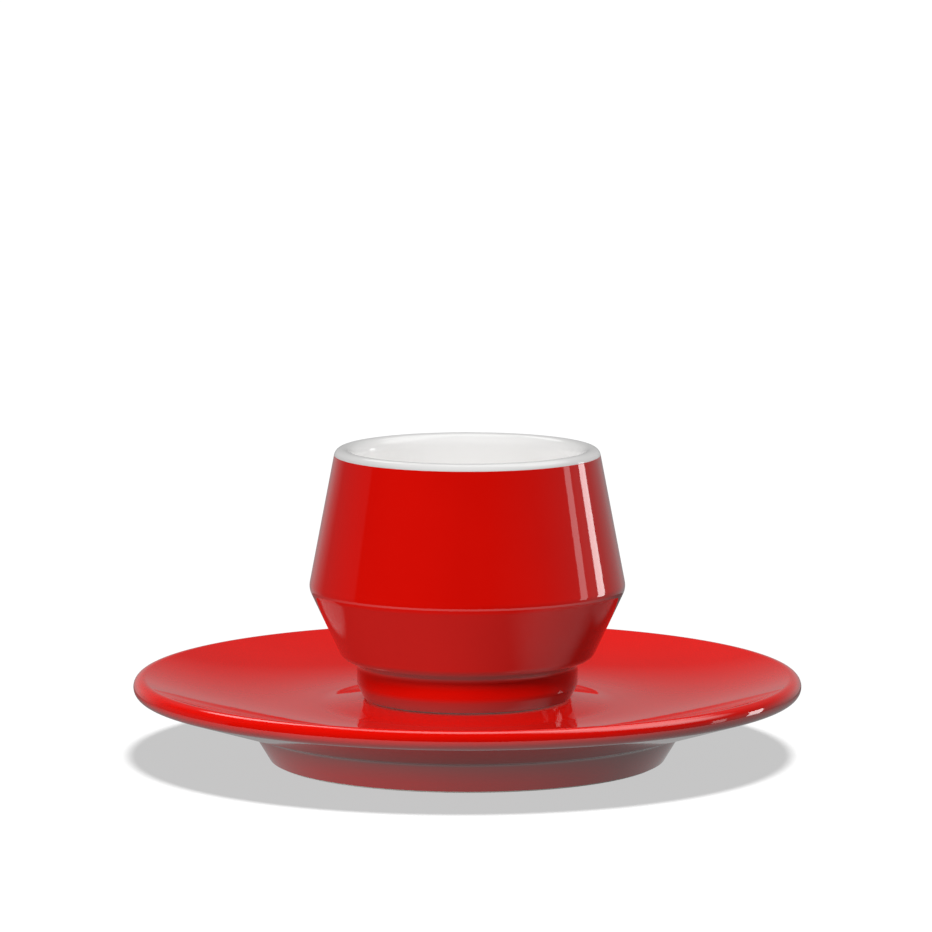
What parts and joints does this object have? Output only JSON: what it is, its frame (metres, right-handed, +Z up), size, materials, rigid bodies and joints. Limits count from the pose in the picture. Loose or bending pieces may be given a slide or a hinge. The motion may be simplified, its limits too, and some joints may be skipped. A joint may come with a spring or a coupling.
{
  "type": "espresso cup and saucer",
  "caption": "Handleless glazed porcelain espresso cup with a belted wall and stepped foot, standing on the raised seat of a wide round saucer; the cup lifts off.",
  "frame": {"origin": "on the common axis of cup and saucer, on the plane that the saucer's foot ring stands on", "axes": "+Z up along the common axis; both pieces are round, so +X and +Y are any two directions across it"},
  "size_m": [0.13, 0.13, 0.0608],
  "materials": {
    "porcelain": "bare fired porcelain, matt",
    "red_glaze": "glossy red glaze",
    "white_glaze": "glossy white glaze"
  },
  "bodies": {
    "saucer": {"saucer_body": "porcelain", "saucer_glaze": "red_glaze", "saucer_base_glaze": "red_glaze"},
    "cup": {"cup_body": "porcelain", "cup_outer_glaze": "red_glaze", "cup_inner_glaze": "white_glaze", "cup_base_glaze": "red_glaze"}
  },
  "joints": [
    {"name": "cup_lift", "type": "slide", "parent": "saucer", "child": "cup", "axis": [0, 0, 1], "range_m": [0, 0.08]}
  ]
}
